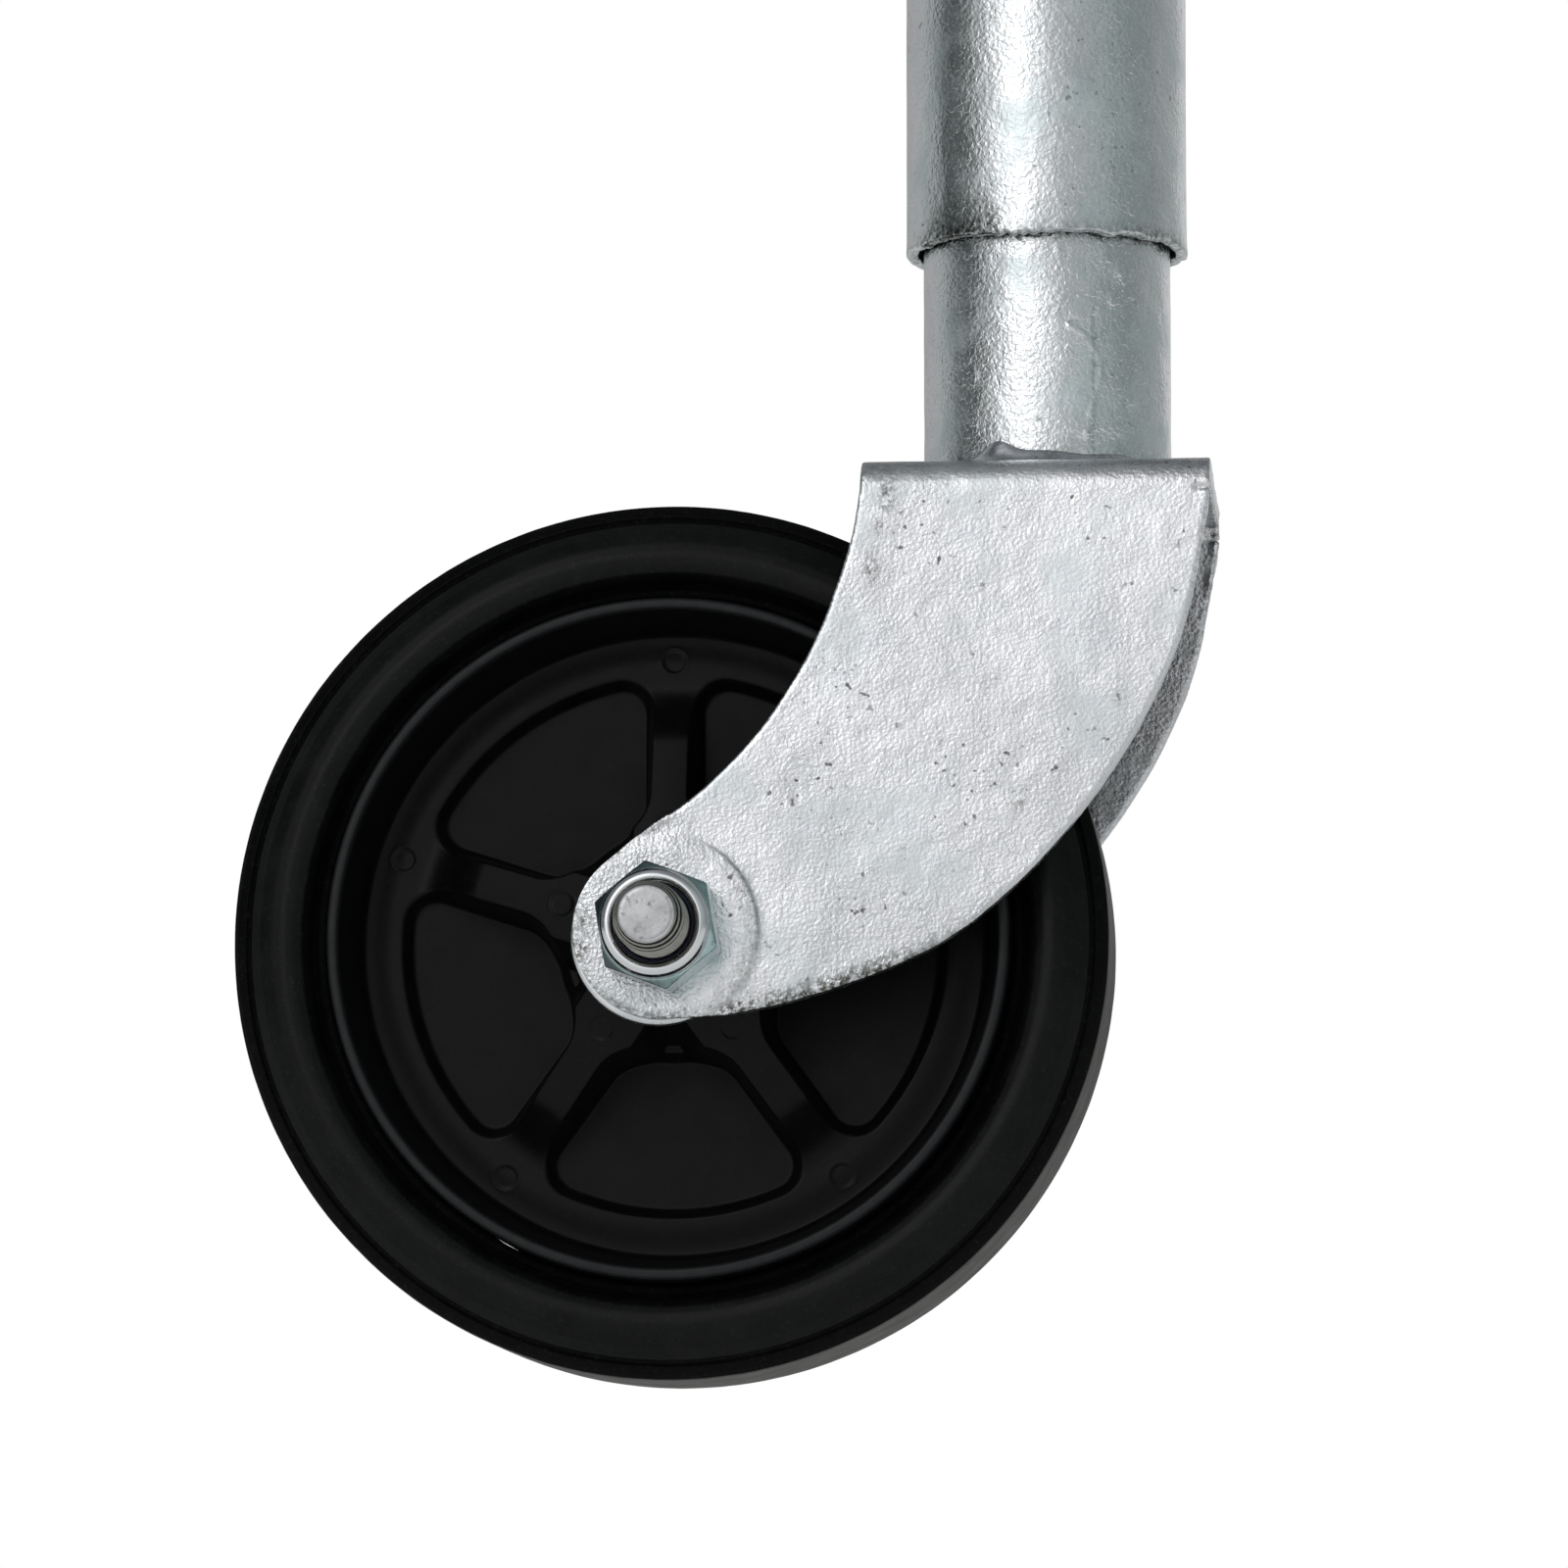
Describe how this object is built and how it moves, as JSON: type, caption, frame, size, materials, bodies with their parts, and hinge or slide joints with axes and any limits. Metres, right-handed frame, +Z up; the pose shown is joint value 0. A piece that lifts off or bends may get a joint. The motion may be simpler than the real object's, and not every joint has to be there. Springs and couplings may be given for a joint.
{
  "type": "trailer jockey wheel",
  "caption": "Clamp-type trailer tongue jack: crank-driven lift screw in a galvanised telescoping tube, with a swept fork and a trailing solid black castor wheel.",
  "frame": {"origin": "on the axis of the outer tube, half way along it, where a trailer clamp grips the tube", "axes": "+Z up along the tube towards the crank; +Y along the axle, away from the threaded end of the axle bolt; the wheel trails towards -X, and the crank points to +X"},
  "size_m": [0.2847, 0.0975, 0.7529],
  "materials": {
    "galv_outer": "hot-dip galvanised, grey, fine orange peel",
    "galv_inner": "hot-dip galvanised, brighter, fine orange peel",
    "galv_fork": "hot-dip galvanised plate, bright, coarse orange peel, dark specks",
    "galv_weld": "galvanised over a smooth weld",
    "zinc_bolt": "zinc plated, cut end",
    "zinc_nut": "bright zinc with a blue-green passivation tint",
    "zinc_fastener": "bright zinc",
    "zinc_cap": "zinc plated, satin",
    "zinc_crank": "zinc plated bar, satin",
    "pin_steel": "dark phosphated",
    "plain_steel": "turned steel, oiled",
    "screw_steel": "rolled thread, greased",
    "nut_steel": "plain steel, greased",
    "bearing_steel": "ground",
    "bearing_balls": "polished",
    "cage_brass": "pressed",
    "nylon_dark": "dark blue-black nylon",
    "bush_plastic": "natural nylon",
    "wheel_plastic": "moulded black polypropylene, fine grain",
    "tyre_black": "solid black rubber, matt, speckled",
    "grip_plastic": "moulded black plastic, ribbed"
  },
  "bodies": {
    "frame": {"outer_tube": "galv_outer", "bearing_plate": "plain_steel", "top_cap": "zinc_cap", "upper_race": "bearing_steel"},
    "bearing": {"bearing_balls": "bearing_balls", "ball_cage": "cage_brass"},
    "crank": {"spindle": "screw_steel", "spindle_collar": "plain_steel", "lower_race": "bearing_steel", "crank_hub": "zinc_crank", "crank_pin": "pin_steel", "crank_arm": "zinc_crank", "grip_washer": "zinc_fastener", "grip_screw": "zinc_fastener"},
    "grip": {"handle_grip": "grip_plastic"},
    "lift_block": {"lift_nut": "nut_steel"},
    "castor": {"inner_tube": "galv_inner", "weld_bead": "galv_weld", "fork": "galv_fork", "axle_bolt": "zinc_bolt", "axle_nut": "zinc_nut", "nut_insert": "nylon_dark", "hub_washers": "zinc_fastener", "axle_sleeve": "plain_steel"},
    "wheel": {"wheel_rim": "wheel_plastic", "wheel_disc": "wheel_plastic", "tyre": "tyre_black", "hub_bushes": "bush_plastic"}
  },
  "joints": [
    {"name": "crank_spin", "type": "hinge", "parent": "frame", "child": "crank", "pos_m": [0, 0, 0.222], "axis": [0, 0, -1], "range_deg": [-2780, 17000]},
    {"name": "bearing_spin", "type": "hinge", "parent": "frame", "child": "bearing", "pos_m": [0, 0, 0.1835], "axis": [0, 0, -1], "range_deg": [-1395, 8505]},
    {"name": "lift", "type": "slide", "parent": "frame", "child": "lift_block", "axis": [0, 0, -1], "range_m": [-0.031, 0.189]},
    {"name": "castor_swivel", "type": "hinge", "parent": "lift_block", "child": "castor", "pos_m": [0, 0, 0.1303], "axis": [0, 0, 1], "continuous": true},
    {"name": "wheel_spin", "type": "hinge", "parent": "castor", "child": "wheel", "pos_m": [-0.0637, 0, -0.3195], "axis": [0, 1, 0], "continuous": true},
    {"name": "grip_spin", "type": "hinge", "parent": "crank", "child": "grip", "pos_m": [0.13, 0, 0.302], "axis": [0, 0, 1], "continuous": true}
  ],
  "couplings": [
    {"joint": "lift", "follows": "crank_spin", "m_per_rad": 0.00063662},
    {"joint": "bearing_spin", "follows": "crank_spin", "ratio": 0.5}
  ]
}
